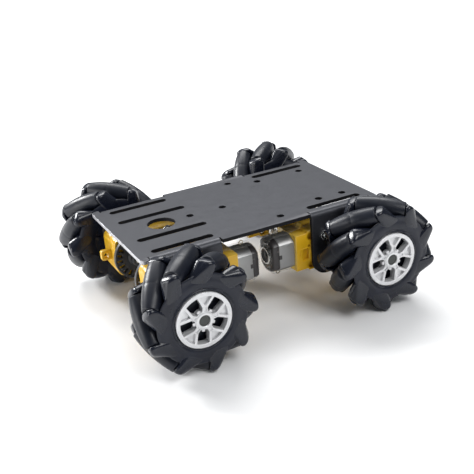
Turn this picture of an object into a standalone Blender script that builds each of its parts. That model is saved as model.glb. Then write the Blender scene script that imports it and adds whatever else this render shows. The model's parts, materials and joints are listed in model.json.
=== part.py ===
"""Four wheel robot chassis with mecanum wheels.

A folded aluminium deck carries four yellow gear motors on its ears.
Each motor turns a wheel, and each wheel carries nine barrel rollers at 45 degrees.
Metres, +Z up, +X along the deck, origin on the floor under the deck's centre.
The corner at +X +Y is modelled, and the other three are its mirror images.
"""
from math import cos, pi, radians, sin, sqrt, tau

import bmesh
import bpy
from mathutils import Matrix, Vector

# Driving dimensions
WHEEL_RADIUS = 0.030
AXLE_X = 0.0536
WHEEL_Y = 0.0585
GAP = 0.0003
OVERSHOOT = 0.0010

DECK_LENGTH = 0.1384
DECK_WIDTH = 0.0785
DECK_TOP_ABOVE_AXLE = 0.0218
SHEET = 0.0020
DECK_CORNER_RADIUS = 0.0030
BEND_OUTER_RADIUS = 0.0030
RELIEF_WIDTH = 0.0010
RELIEF_DEPTH = 0.0006
BEND_STEPS = 3
EAR_X = (0.0263, 0.0643)
EAR_BELOW_AXLE = 0.0147
EAR_CORNER_RADIUS = 0.0083
SHAFT_HOLE_RADIUS = 0.0042
SCREW_HOLE_RADIUS = 0.0017
DECK_HOLE_RADIUS = 0.0020
CABLE_HOLE_X = -0.0428
CABLE_HOLE_RADIUS = 0.0075
SLOT_HALF_WIDTH = 0.0021
OUTER_SLOT_Y = 0.0310
INNER_SLOT_Y = 0.0143
FRONT_OUTER_SLOT_X = (-0.0610, -0.0272)
FRONT_INNER_SLOT_X = (-0.0619, -0.0231)
REAR_OUTER_SLOT_X = (0.0288, 0.0623)
DECK_HOLES = (
    (-0.0260, 0.0), (-0.0065, 0.0), (0.0124, 0.0310), (0.0124, -0.0310),
    (0.0280, 0.0232), (0.0413, -0.0227), (0.0563, 0.0230), (0.0563, -0.0230),
)

GEARBOX_THICKNESS = 0.0188
GEARBOX_HEIGHT = 0.0225
GEARBOX_NECK_HEIGHT = 0.0206
GEARBOX_NECK_LENGTH = 0.0070
GEARBOX_HEAD = 0.0112
GEARBOX_END_X = 0.0172
GEARBOX_CORNER = 0.0045
TAB_LENGTH = 0.0058
TAB_HEIGHT = 0.0058
TAB_THICKNESS = 0.0030
TAB_HOLE_RADIUS = 0.0013
TAB_BEVEL = 0.0012
MOTOR_SCREW_FROM_AXLE = 0.0203
MOTOR_SCREW_SPACING = 0.0175

CAN_RADIUS = 0.01005
CAN_HALF_FLAT = 0.0077
CAN_END_X = 0.0080
END_CAP_X = 0.0046
END_CAP_STEP = 0.0005
END_CAP_CHAMFER = 0.0006
MOTOR_BOSS_X = 0.0032
MOTOR_BOSS_RADIUS = 0.0044

SHAFT_RADIUS = 0.0027
SHAFT_HALF_FLAT = 0.00185
SHAFT_STICKS_OUT = 0.0089
DISC_RADIUS = 0.0130
DISC_THICKNESS = 0.0022
DISC_CLEARANCE = 0.0012
DISC_HUB_RADIUS = 0.0045
DISC_HUB_LENGTH = 0.0050

ROLLER_COUNT = 9
ROLLER_CIRCLE = 0.0242
ROLLER_HALF_LENGTH = 0.0130
ROLLER_SIDES = 10
ROLLER_RINGS = 5
ROLLER_ANGLE = radians(45)
FIRST_ROLLER_AT = radians(43)
BORE_RADIUS = 0.0016
PIN_RADIUS = 0.0012

DRUM_RADIUS = 0.0174
FLANGE_RADIUS = 0.0208
FLANGE_INNER_FACE = 0.0098
FLANGE_SLOPE = 0.0030
HUB_HALF_WIDTH = 0.0126
LUG_RADIUS = 0.0036
LUG_TIP_RADIUS = 0.0027
LUG_LENGTH = 0.0034
LUG_CLEARANCE = 0.0004
LUG_ROOT_CIRCLE = 0.0174
LUG_ROOT_RADIUS = 0.0030
LUG_ROOT_LAG = radians(42)
COUPLING_RADIUS = 0.0062
COUPLING_LENGTH = 0.0056
RECESS_RADIUS = 0.0148
RECESS_DEPTH = 0.0050
BORE_PAST_SHAFT = 0.0015

CAP_RADIUS = 0.0143
CAP_FACE_Y = 0.0720
CAP_THICKNESS = 0.0024
CAP_RING_INSIDE = 0.0122
CAP_BOSS_RADIUS = 0.0040
CAP_BOSS_HEIGHT = 0.0005
CAP_BOSS_FOOT_RADIUS = 0.0046
CAP_LIP = 0.0006
CAP_SPOKES = 5
CAP_ARM_WIDTH = 0.0014
CAP_STEM_WIDTH = 0.0026
CAP_FORK_RADIUS = 0.0068
CAP_FORK_WEB = 0.0015
CAP_ARM_SPREAD = radians(17)
CAP_SPOKE_AT = {1: radians(81), -1: radians(99)}

# Fineness of round shapes
BODY_SIDES = 24
DISC_SIDES = 20
MOTOR_SIDES = 16
BORE_SIDES = 12
HOLE_SIDES = 8
LUG_SIDES = 5
CORNER_STEPS = 4
SHARP_EDGE = radians(35)

# Sizes that follow
GEARBOX_OUTER_Y = DECK_WIDTH / 2 - SHEET - GAP
GEARBOX_INNER_Y = GEARBOX_OUTER_Y - GEARBOX_THICKNESS
MOTOR_Y = GEARBOX_OUTER_Y - GEARBOX_THICKNESS / 2
BEND_START = DECK_WIDTH / 2 - BEND_OUTER_RADIUS
BEND_FLAT = (BEND_OUTER_RADIUS - SHEET / 2) * pi / 2
CORNERS = {"front_left": (-1, -1), "front_right": (-1, 1), "rear_left": (1, -1), "rear_right": (1, 1)}

# How far each wheel has rolled at rest, about +Y
WHEEL_TURNS = {"front_left": 0.0, "front_right": radians(13), "rear_left": 0.0, "rear_right": radians(28)}


# Mesh helpers

def clear_scene():
    for old in list(bpy.data.objects):
        bpy.data.objects.remove(old)


def material(name, colour, roughness, metallic=0.0):
    made = bpy.data.materials.new(name)
    made.use_nodes = True
    shader = made.node_tree.nodes["Principled BSDF"]
    shader.inputs["Base Color"].default_value = (*colour, 1.0)
    shader.inputs["Roughness"].default_value = roughness
    shader.inputs["Metallic"].default_value = metallic
    made.diffuse_color = (*colour, 1.0)
    return made


def arc(centre, radius, start, end, steps):
    """Points on an arc, both ends included."""
    angles = [start + (end - start) * i / steps for i in range(steps + 1)]
    return [(centre[0] + radius * cos(a), centre[1] + radius * sin(a)) for a in angles]


def circle(centre, radius, steps):
    return arc(centre, radius, 0.0, tau, steps)[:-1]


def rounded_slot(x_range, y, half_width, steps=3):
    """A straight slot along X with round ends."""
    low, high = x_range
    right = arc((high - half_width, y), half_width, -pi / 2, pi / 2, steps)
    left = arc((low + half_width, y), half_width, pi / 2, 3 * pi / 2, steps)
    return right + left


def add_prism(mesh, outline, low, high, place=lambda u, v, w: (u, v, w)):
    """Add a closed prism: outline in (u, v), from low to high along w, mapped by place."""
    bottom = [mesh.verts.new(place(u, v, low)) for u, v in outline]
    top = [mesh.verts.new(place(u, v, high)) for u, v in outline]
    mesh.faces.new(bottom[::-1])
    mesh.faces.new(top)
    for i in range(len(outline)):
        j = (i + 1) % len(outline)
        mesh.faces.new((bottom[i], bottom[j], top[j], top[i]))


def add_loft(mesh, rings):
    """Add a closed body through rings of equal length, with both end rings filled."""
    loops = [[mesh.verts.new(point) for point in ring] for ring in rings]
    count = len(loops[0])
    for near, far in zip(loops, loops[1:]):
        for i in range(count):
            j = (i + 1) % count
            mesh.faces.new((near[i], near[j], far[j], far[i]))
    mesh.faces.new(loops[0][::-1])
    mesh.faces.new(loops[-1])


def add_hull(mesh, points):
    """Add the convex hull of some points."""
    verts = [mesh.verts.new(point) for point in points]
    hull = bmesh.ops.convex_hull(mesh, input=verts)
    spare = {v for v in hull["geom_interior"] + hull["geom_unused"] if isinstance(v, bmesh.types.BMVert)}
    bmesh.ops.delete(mesh, geom=list(spare), context="VERTS")


def along_y(u, v, w):
    """Map an outline in X and Z to a prism along Y."""
    return (u, w, v)


def to_object(name, mesh, finish=None, smooth=True):
    """Turn a bmesh into an object with faces pointing out."""
    bmesh.ops.recalc_face_normals(mesh, faces=mesh.faces)
    data = bpy.data.meshes.new(name)
    mesh.to_mesh(data)
    mesh.free()
    if smooth:
        data.shade_smooth()
        data.set_sharp_from_angle(angle=SHARP_EDGE)
    made = bpy.data.objects.new(name, data)
    bpy.context.collection.objects.link(made)
    if finish is not None:
        data.materials.append(finish)
    return made


def tool(build, *values):
    """A closed body used only to cut or join another, hidden from the result."""
    mesh = bmesh.new()
    build(mesh, *values)
    made = to_object("tool", mesh, smooth=False)
    made.hide_render = True
    made.display_type = "WIRE"
    return made


def combine(target, operation, helper):
    """Apply one exact Boolean and remove the helper."""
    step = target.modifiers.new(operation, "BOOLEAN")
    step.operation = operation
    step.object = helper
    step.solver = "EXACT"
    evaluated = target.evaluated_get(bpy.context.evaluated_depsgraph_get())
    old = target.data
    target.data = bpy.data.meshes.new_from_object(evaluated)
    target.modifiers.clear()
    bpy.data.objects.remove(helper)
    bpy.data.meshes.remove(old)


def place_in_corner(made, side_x, side_y, origin, turn=0.0):
    """Mirror a part from the +X +Y corner to another corner, turn it about the axle and set its origin."""
    data = made.data
    data.transform(Matrix.Translation(-Vector(origin)))
    data.transform(Matrix.Diagonal((side_x, side_y, 1.0, 1.0)))
    if side_x * side_y < 0:
        data.flip_normals()
    rolled = Matrix.Rotation(turn, 4, "Y")
    data.transform(rolled)
    axle = Vector((AXLE_X * side_x, WHEEL_Y * side_y, AXLE_Z))
    place = Vector((origin[0] * side_x, origin[1] * side_y, origin[2]))
    made.location = axle + rolled.to_3x3() @ (place - axle)


# Rollers

def roller_radius(along):
    """Largest circle about the roller's axis, at this place, that stays inside the wheel's circle."""
    low, high = 0.0, WHEEL_RADIUS - ROLLER_CIRCLE
    lean = sin(ROLLER_ANGLE)
    for _ in range(40):
        middle = (low + high) / 2
        reach = 0.0
        for degrees in range(-90, 91):
            turn = radians(degrees)
            out = ROLLER_CIRCLE + middle * cos(turn)
            side = (abs(along) + middle * sin(turn)) * lean
            reach = max(reach, sqrt(out * out + side * side))
        if reach > WHEEL_RADIUS:
            high = middle
        else:
            low = middle
    return low


def roller_frame(angle, axle_z):
    """Centre, axis, outward and side directions of the roller at this angle about the axle."""
    outward = Vector((cos(angle), 0.0, sin(angle)))
    tangent = Vector((sin(angle), 0.0, -cos(angle)))
    across = Vector((0.0, 1.0, 0.0))
    axis = tangent * sin(ROLLER_ANGLE) + across * cos(ROLLER_ANGLE)
    side = axis.cross(outward)
    centre = Vector((AXLE_X, WHEEL_Y, axle_z)) + outward * ROLLER_CIRCLE
    return centre, axis, outward, side


def ring_about(frame, along, radius, sides):
    """A regular ring about a roller's axis."""
    centre, axis, outward, side = frame
    middle = centre + axis * along
    turns = [tau * i / sides for i in range(sides)]
    return [middle + (outward * cos(t) + side * sin(t)) * radius for t in turns]


def roller_profile():
    """Places along the roller and the barrel's radius there."""
    half = ROLLER_HALF_LENGTH
    places = [-half + 2 * half * i / (ROLLER_RINGS - 1) for i in range(ROLLER_RINGS)]
    return [(place, roller_radius(place)) for place in places]


def build_roller(mesh, frame, profile):
    """A barrel with a bore right through it."""
    outer = [ring_about(frame, along, radius, ROLLER_SIDES) for along, radius in profile]
    inner = [ring_about(frame, along, BORE_RADIUS, ROLLER_SIDES) for along, _ in (profile[-1], profile[0])]
    loops = [[mesh.verts.new(point) for point in ring] for ring in outer + inner]
    for near, far in zip(loops, loops[1:] + loops[:1]):
        for i in range(ROLLER_SIDES):
            j = (i + 1) % ROLLER_SIDES
            mesh.faces.new((near[i], near[j], far[j], far[i]))


def roller_angles():
    return [FIRST_ROLLER_AT + tau * i / ROLLER_COUNT for i in range(ROLLER_COUNT)]


# Wheel hub

def build_hub_body(mesh):
    """Drum with a flange at each side, and the coupling that takes the motor's shaft."""
    centre = (AXLE_X, AXLE_Z)
    inner, outer = WHEEL_Y - HUB_HALF_WIDTH, WHEEL_Y + HUB_HALF_WIDTH
    low, high = WHEEL_Y - FLANGE_INNER_FACE, WHEEL_Y + FLANGE_INNER_FACE
    steps = [
        (inner - COUPLING_LENGTH, COUPLING_RADIUS), (inner, COUPLING_RADIUS), (inner, FLANGE_RADIUS),
        (low, FLANGE_RADIUS), (low + FLANGE_SLOPE, DRUM_RADIUS), (high - FLANGE_SLOPE, DRUM_RADIUS),
        (high, FLANGE_RADIUS), (outer, FLANGE_RADIUS),
    ]
    rings = [[(x, y, z) for x, z in circle(centre, radius, BODY_SIDES)] for y, radius in steps]
    add_loft(mesh, rings)


def build_lug(mesh, angle, end):
    """Finger that holds one end of a roller; end is 1 at the wheel's outer side and -1 inside."""
    frame = roller_frame(angle, AXLE_Z)
    start = ROLLER_HALF_LENGTH + LUG_CLEARANCE
    face = ring_about(frame, end * start, LUG_RADIUS, HOLE_SIDES)
    tip = ring_about(frame, end * (start + LUG_LENGTH), LUG_TIP_RADIUS, LUG_SIDES)
    root_angle = angle - end * LUG_ROOT_LAG
    root_centre = (AXLE_X + LUG_ROOT_CIRCLE * cos(root_angle), AXLE_Z + LUG_ROOT_CIRCLE * sin(root_angle))
    root = []
    for depth in (FLANGE_INNER_FACE + GAP, HUB_HALF_WIDTH - GAP):
        foot = circle(root_centre, LUG_ROOT_RADIUS, LUG_SIDES)
        root += [(x, WHEEL_Y + end * depth, z) for x, z in foot]
    add_hull(mesh, face + tip + root)


def build_pin(mesh, angle):
    """Pin through one roller, from lug to lug."""
    frame = roller_frame(angle, AXLE_Z)
    reach = ROLLER_HALF_LENGTH + LUG_LENGTH / 2
    add_loft(mesh, [ring_about(frame, place, PIN_RADIUS, LUG_SIDES) for place in (-reach, reach)])


def build_hub_hollows(mesh):
    """Recess behind the cap and the bore for the shaft."""
    outer = WHEEL_Y + HUB_HALF_WIDTH
    inner = WHEEL_Y - HUB_HALF_WIDTH
    recess = circle((AXLE_X, AXLE_Z), RECESS_RADIUS, BODY_SIDES)
    add_prism(mesh, recess, outer - RECESS_DEPTH, outer + OVERSHOOT, along_y)
    bore = circle((AXLE_X, AXLE_Z), SHAFT_RADIUS + GAP, BORE_SIDES)
    bore_end = GEARBOX_OUTER_Y + SHAFT_STICKS_OUT + BORE_PAST_SHAFT
    add_prism(mesh, bore, inner - COUPLING_LENGTH - OVERSHOOT, bore_end, along_y)


def make_hub(name, finish):
    mesh = bmesh.new()
    build_hub_body(mesh)
    hub = to_object(name, mesh, finish)
    for angle in roller_angles():
        for end in (1, -1):
            combine(hub, "UNION", tool(build_lug, angle, end))
        combine(hub, "UNION", tool(build_pin, angle))
    combine(hub, "DIFFERENCE", tool(build_hub_hollows))
    return hub


# Wheel cap

def cap_point(radius, angle):
    return (AXLE_X + radius * cos(angle), AXLE_Z + radius * sin(angle))


def cap_windows(first_spoke):
    """Outlines of the windows: one inside each fork and one between each pair of spokes."""
    outlines = []
    centre = (AXLE_X, AXLE_Z)
    arm = CAP_ARM_WIDTH / 2 / CAP_RING_INSIDE
    fork = CAP_STEM_WIDTH / 2 / CAP_FORK_RADIUS
    foot = CAP_STEM_WIDTH / 2 / CAP_BOSS_FOOT_RADIUS
    for i in range(CAP_SPOKES):
        spoke = first_spoke + tau * i / CAP_SPOKES
        following = spoke + tau / CAP_SPOKES
        inside = CAP_ARM_SPREAD - arm
        rim = arc(centre, CAP_RING_INSIDE, spoke - inside, spoke + inside, 2)
        outlines.append([cap_point(CAP_FORK_RADIUS + CAP_FORK_WEB, spoke)] + rim)
        outside = CAP_ARM_SPREAD + arm
        rim = arc(centre, CAP_RING_INSIDE, spoke + outside, following - outside, 2)
        outlines.append(rim + [
            cap_point(CAP_FORK_RADIUS, following - fork), cap_point(CAP_BOSS_FOOT_RADIUS, following - foot),
            cap_point(CAP_BOSS_FOOT_RADIUS, spoke + foot), cap_point(CAP_FORK_RADIUS, spoke + fork),
        ])
    return outlines


def build_cap_windows(mesh, first_spoke):
    for outline in cap_windows(first_spoke):
        add_prism(mesh, outline, CAP_FACE_Y - CAP_THICKNESS - OVERSHOOT, CAP_FACE_Y + OVERSHOOT, along_y)


def make_cap(name, side_x, finish):
    centre = (AXLE_X, AXLE_Z)
    back, face = CAP_FACE_Y - CAP_THICKNESS, CAP_FACE_Y
    steps = [
        (back, CAP_RADIUS), (face - CAP_LIP, CAP_RADIUS), (face, CAP_RADIUS - CAP_LIP),
        (face, CAP_BOSS_RADIUS), (face + CAP_BOSS_HEIGHT, CAP_BOSS_RADIUS - CAP_LIP),
    ]
    mesh = bmesh.new()
    add_loft(mesh, [[(x, y, z) for x, z in circle(centre, radius, BODY_SIDES)] for y, radius in steps])
    cap = to_object(name, mesh, finish)
    combine(cap, "DIFFERENCE", tool(build_cap_windows, CAP_SPOKE_AT[side_x]))
    return cap


# Motor parts

def gearbox_outline():
    """Side view of the gearbox: tall head with round corners and a lower neck at the motor."""
    head_x = AXLE_X + GEARBOX_HEAD
    high, neck = GEARBOX_HEIGHT / 2, GEARBOX_NECK_HEIGHT / 2
    neck_x = GEARBOX_END_X + GEARBOX_NECK_LENGTH
    corner = GEARBOX_CORNER
    step = high - neck
    upper = arc((head_x - corner, AXLE_Z + high - corner), corner, 0.0, pi / 2, CORNER_STEPS)
    upper += [(neck_x + step, AXLE_Z + high), (neck_x, AXLE_Z + neck), (GEARBOX_END_X, AXLE_Z + neck)]
    lower = [(x, 2 * AXLE_Z - z) for x, z in reversed(upper)]
    return upper + lower


def motor_screw_centres():
    x = AXLE_X - MOTOR_SCREW_FROM_AXLE
    return [(x, AXLE_Z + side * MOTOR_SCREW_SPACING / 2) for side in (1, -1)]


def build_tab(mesh):
    """Fixing tab on the gearbox's end."""
    start = AXLE_X + GEARBOX_HEAD - OVERSHOOT
    end = AXLE_X + GEARBOX_HEAD + TAB_LENGTH
    half = TAB_HEIGHT / 2
    outline = [
        (start, AXLE_Z - half), (end - TAB_BEVEL, AXLE_Z - half), (end, AXLE_Z - half + TAB_BEVEL),
        (end, AXLE_Z + half - TAB_BEVEL), (end - TAB_BEVEL, AXLE_Z + half), (start, AXLE_Z + half),
    ]
    add_prism(mesh, outline, MOTOR_Y - TAB_THICKNESS / 2, MOTOR_Y + TAB_THICKNESS / 2, along_y)


def build_gearbox_holes(mesh):
    """Screw holes, the shaft's bore and the hole in the tab."""
    low, high = GEARBOX_INNER_Y - OVERSHOOT, GEARBOX_OUTER_Y + OVERSHOOT
    for centre in motor_screw_centres():
        add_prism(mesh, circle(centre, SCREW_HOLE_RADIUS, HOLE_SIDES), low, high, along_y)
    add_prism(mesh, circle((AXLE_X, AXLE_Z), SHAFT_RADIUS + GAP, BORE_SIDES), low, high, along_y)
    tab_centre = (AXLE_X + GEARBOX_HEAD + TAB_LENGTH / 2, AXLE_Z)
    add_prism(mesh, circle(tab_centre, TAB_HOLE_RADIUS, HOLE_SIDES), low, high, along_y)


def make_gearbox(name, finish):
    mesh = bmesh.new()
    add_prism(mesh, gearbox_outline(), GEARBOX_INNER_Y, GEARBOX_OUTER_Y, along_y)
    gearbox = to_object(name, mesh, finish)
    combine(gearbox, "UNION", tool(build_tab))
    combine(gearbox, "DIFFERENCE", tool(build_gearbox_holes))
    return gearbox


def flattened_ring(x, radius, half_flat):
    """Ring across the motor: round above and below, flat at both sides."""
    ring = []
    for i in range(MOTOR_SIDES):
        turn = tau * (i + 0.5) / MOTOR_SIDES
        y = max(-half_flat, min(half_flat, radius * cos(turn)))
        ring.append((x, MOTOR_Y + y, AXLE_Z + radius * sin(turn)))
    return ring


def make_motor(name, finish):
    """Flattened steel can, end cap and rear bearing boss."""
    radius, flat = CAN_RADIUS - END_CAP_STEP, CAN_HALF_FLAT - END_CAP_STEP
    steps = [
        (GEARBOX_END_X - GAP, CAN_RADIUS, CAN_HALF_FLAT), (CAN_END_X, CAN_RADIUS, CAN_HALF_FLAT),
        (CAN_END_X, radius, flat), (END_CAP_X + END_CAP_CHAMFER, radius, flat),
        (END_CAP_X, radius - END_CAP_CHAMFER, flat - END_CAP_CHAMFER),
        (END_CAP_X, MOTOR_BOSS_RADIUS, MOTOR_BOSS_RADIUS),
        (MOTOR_BOSS_X, MOTOR_BOSS_RADIUS, MOTOR_BOSS_RADIUS),
    ]
    mesh = bmesh.new()
    add_loft(mesh, [flattened_ring(x, reach, half) for x, reach, half in steps])
    return to_object(name, mesh, finish)


def shaft_ring(y):
    """Ring of the shaft, which has two flats."""
    ring = []
    for i in range(BORE_SIDES):
        turn = tau * (i + 0.5) / BORE_SIDES
        z = max(-SHAFT_HALF_FLAT, min(SHAFT_HALF_FLAT, SHAFT_RADIUS * sin(turn)))
        ring.append((AXLE_X + SHAFT_RADIUS * cos(turn), y, AXLE_Z + z))
    return ring


def build_shaft(mesh):
    low = GEARBOX_INNER_Y - SHAFT_STICKS_OUT
    high = GEARBOX_OUTER_Y + SHAFT_STICKS_OUT
    add_loft(mesh, [shaft_ring(low), shaft_ring(high)])


def make_shaft_and_disc(name, finish):
    """Encoder disc and its hub on the double-ended output shaft."""
    disc_face = GEARBOX_INNER_Y - DISC_CLEARANCE
    steps = [
        (disc_face - DISC_THICKNESS - DISC_HUB_LENGTH, DISC_HUB_RADIUS),
        (disc_face - DISC_THICKNESS, DISC_HUB_RADIUS), (disc_face - DISC_THICKNESS, DISC_RADIUS),
        (disc_face, DISC_RADIUS),
    ]
    centre = (AXLE_X, AXLE_Z)
    mesh = bmesh.new()
    add_loft(mesh, [[(x, y, z) for x, z in circle(centre, radius, DISC_SIDES)] for y, radius in steps])
    disc = to_object(name, mesh, finish)
    combine(disc, "UNION", tool(build_shaft))
    return disc


# Deck

def ear_flat_length():
    """Unfolded length of an ear past the bend's start."""
    return BEND_FLAT + DECK_TOP_ABOVE_AXLE - BEND_OUTER_RADIUS + EAR_BELOW_AXLE


def ear_flat_y(above_axle):
    """Where a height on the folded ear lies on the flat sheet."""
    return BEND_START + BEND_FLAT + DECK_TOP_ABOVE_AXLE - BEND_OUTER_RADIUS - above_axle


def quarter_outline():
    """Flat sheet's outline in the +X +Y quarter, from the long side's middle to the short side's."""
    edge = DECK_WIDTH / 2
    relief = BEND_START - RELIEF_DEPTH
    foot = BEND_START + ear_flat_length()
    near, far = EAR_X
    radius = EAR_CORNER_RADIUS
    points = [(near - RELIEF_WIDTH, edge), (near - RELIEF_WIDTH, relief), (near, relief)]
    points += arc((near + radius, foot - radius), radius, pi, pi / 2, CORNER_STEPS)
    points += arc((far - radius, foot - radius), radius, pi / 2, 0.0, CORNER_STEPS)
    points += [(far, relief), (far + RELIEF_WIDTH, relief), (far + RELIEF_WIDTH, edge)]
    corner = DECK_CORNER_RADIUS
    points += arc((DECK_LENGTH / 2 - corner, edge - corner), corner, pi / 2, 0.0, CORNER_STEPS)
    return points


def sheet_outline():
    quarter = quarter_outline()
    right_front = [(x, -y) for x, y in reversed(quarter)]
    left_front = [(-x, -y) for x, y in quarter]
    left_back = [(-x, y) for x, y in reversed(quarter)]
    return quarter + right_front + left_front + left_back


def build_sheet_holes(mesh):
    """Every slot and hole, cut while the sheet is flat."""
    outlines = [circle((CABLE_HOLE_X, 0.0), CABLE_HOLE_RADIUS, BODY_SIDES)]
    outlines += [circle(centre, DECK_HOLE_RADIUS, HOLE_SIDES) for centre in DECK_HOLES]
    for side in (1, -1):
        outlines.append(rounded_slot(FRONT_OUTER_SLOT_X, side * OUTER_SLOT_Y, SLOT_HALF_WIDTH))
        outlines.append(rounded_slot(FRONT_INNER_SLOT_X, side * INNER_SLOT_Y, SLOT_HALF_WIDTH))
        outlines.append(rounded_slot(REAR_OUTER_SLOT_X, side * OUTER_SLOT_Y, SLOT_HALF_WIDTH))
    for side_x, side_y in CORNERS.values():
        on_axle = (side_x * AXLE_X, side_y * ear_flat_y(0.0))
        outlines.append(circle(on_axle, SHAFT_HOLE_RADIUS, BORE_SIDES))
        for x, z in motor_screw_centres():
            centre = (side_x * x, side_y * ear_flat_y(z - AXLE_Z))
            outlines.append(circle(centre, SCREW_HOLE_RADIUS, HOLE_SIDES))
    for outline in outlines:
        add_prism(mesh, outline, -SHEET - OVERSHOOT, OVERSHOOT)


def fold(point, deck_top):
    """Fold the ears of the flat sheet down; the sheet's top face is at zero."""
    side = 1 if point.y > 0 else -1
    past = abs(point.y) - BEND_START
    in_ear = EAR_X[0] - 1e-6 < abs(point.x) < EAR_X[1] + 1e-6
    if past <= 0 or not in_ear:
        return Vector((point.x, point.y, deck_top + point.z))
    reach = BEND_OUTER_RADIUS + point.z
    turn = min(past / BEND_FLAT, 1.0) * pi / 2
    drop = max(past - BEND_FLAT, 0.0)
    y = side * (BEND_START + reach * sin(turn))
    z = deck_top - BEND_OUTER_RADIUS + reach * cos(turn) - drop
    return Vector((point.x, y, z))


def make_deck(name, finish):
    """Flat sheet with its holes, then folded along the four ears."""
    mesh = bmesh.new()
    add_prism(mesh, sheet_outline(), -SHEET, 0.0)
    deck = to_object(name, mesh)
    combine(deck, "DIFFERENCE", tool(build_sheet_holes))
    mesh = bmesh.new()
    mesh.from_mesh(deck.data)
    bend_lines = [BEND_START + BEND_FLAT * i / BEND_STEPS for i in range(BEND_STEPS + 1)]
    for side in (1, -1):
        for line in bend_lines:
            everything = mesh.verts[:] + mesh.edges[:] + mesh.faces[:]
            crease = Vector((0, side * line, 0))
            bmesh.ops.bisect_plane(mesh, geom=everything, dist=1e-7, plane_co=crease, plane_no=(0, 1, 0))
    for vert in mesh.verts:
        vert.co = fold(vert.co, AXLE_Z + DECK_TOP_ABOVE_AXLE)
    bpy.data.objects.remove(deck)
    return to_object(name, mesh, finish)


# Assembly

def axle_height():
    """Height of the axles when the lowest points of the rollers touch the floor."""
    profile = roller_profile()
    lowest = 0.0
    for corner, (side_x, _) in CORNERS.items():
        for angle in roller_angles():
            frame = roller_frame(angle - side_x * WHEEL_TURNS[corner], 0.0)
            for along, radius in profile:
                ring = ring_about(frame, along, radius, ROLLER_SIDES)
                lowest = min(lowest, min(point.z for point in ring))
    return -lowest


def make_corner(corner, side_x, side_y, finishes):
    """One motor and its wheel."""
    axle = (AXLE_X, WHEEL_Y, AXLE_Z)
    motor = (AXLE_X, MOTOR_Y, AXLE_Z)
    place_in_corner(make_gearbox("gearbox_" + corner, finishes["gearbox"]), side_x, side_y, motor)
    place_in_corner(make_motor("motor_" + corner, finishes["motor"]), side_x, side_y, motor)
    turning = [
        (make_shaft_and_disc("encoder_disc_" + corner, finishes["disc"]), axle),
        (make_hub("wheel_hub_" + corner, finishes["hub"]), axle),
        (make_cap("wheel_cap_" + corner, side_x, finishes["cap"]), axle),
    ]
    profile = roller_profile()
    for number, angle in enumerate(roller_angles(), 1):
        mesh = bmesh.new()
        frame = roller_frame(angle, AXLE_Z)
        build_roller(mesh, frame, profile)
        roller = to_object(f"roller_{corner}_{number}", mesh, finishes["roller"])
        turning.append((roller, tuple(frame[0])))
    for made, origin in turning:
        place_in_corner(made, side_x, side_y, origin, WHEEL_TURNS[corner])


def make_finishes():
    return {
        "deck": material("anodised_deck", (0.10, 0.105, 0.115), 0.45, 0.6),
        "gearbox": material("yellow_plastic", (0.82, 0.56, 0.04), 0.4),
        "motor": material("motor_steel", (0.55, 0.55, 0.54), 0.3, 1.0),
        "disc": material("black_disc", (0.02, 0.02, 0.022), 0.5),
        "hub": material("black_hub", (0.02, 0.022, 0.03), 0.25),
        "cap": material("silver_cap", (0.78, 0.78, 0.79), 0.25, 0.8),
        "roller": material("black_rubber", (0.035, 0.04, 0.055), 0.55),
    }


clear_scene()
AXLE_Z = axle_height()
FINISHES = make_finishes()
make_deck("deck", FINISHES["deck"])
for corner_name, (to_x, to_y) in CORNERS.items():
    make_corner(corner_name, to_x, to_y, FINISHES)
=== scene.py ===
"""Looks of the four wheel robot chassis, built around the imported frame.

Shapes are modelled in millimetres about their own axle, for the corner at +X +Y.
Wheel shapes have the axle along Y with +Y outwards.
Motor shapes share that frame, and their middle is the middle of the gearbox's thickness.
The other corners turn or mirror them, as the frame does.
"""

import json
from math import atan2, cos, exp, hypot, pi, radians, sin, sqrt, tau

import bmesh
import bpy
from mathutils import Matrix, Vector


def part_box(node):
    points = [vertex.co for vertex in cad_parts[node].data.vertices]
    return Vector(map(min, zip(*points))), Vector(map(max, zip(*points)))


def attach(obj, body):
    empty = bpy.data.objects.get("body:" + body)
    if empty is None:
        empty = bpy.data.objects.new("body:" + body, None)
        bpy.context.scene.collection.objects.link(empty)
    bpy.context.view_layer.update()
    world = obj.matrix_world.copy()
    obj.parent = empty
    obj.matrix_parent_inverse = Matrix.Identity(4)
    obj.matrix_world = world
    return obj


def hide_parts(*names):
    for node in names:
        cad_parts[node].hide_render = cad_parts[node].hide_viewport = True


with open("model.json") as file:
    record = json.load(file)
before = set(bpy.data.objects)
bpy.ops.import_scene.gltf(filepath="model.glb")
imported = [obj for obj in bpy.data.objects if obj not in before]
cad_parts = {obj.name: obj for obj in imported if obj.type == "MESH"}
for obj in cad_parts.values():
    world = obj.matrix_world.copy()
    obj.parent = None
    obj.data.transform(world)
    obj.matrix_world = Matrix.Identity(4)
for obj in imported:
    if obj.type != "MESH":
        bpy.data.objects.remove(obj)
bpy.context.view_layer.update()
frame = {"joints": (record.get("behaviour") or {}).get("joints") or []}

MM = 0.001

# Where the frame has its corners and joints
SIDES = {"front_left": (-1, -1), "front_right": (-1, 1), "rear_left": (1, -1), "rear_right": (1, 1)}
JOINTS = {joint["name"]: joint for joint in frame["joints"]}
ROLLERS = 9

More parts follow.
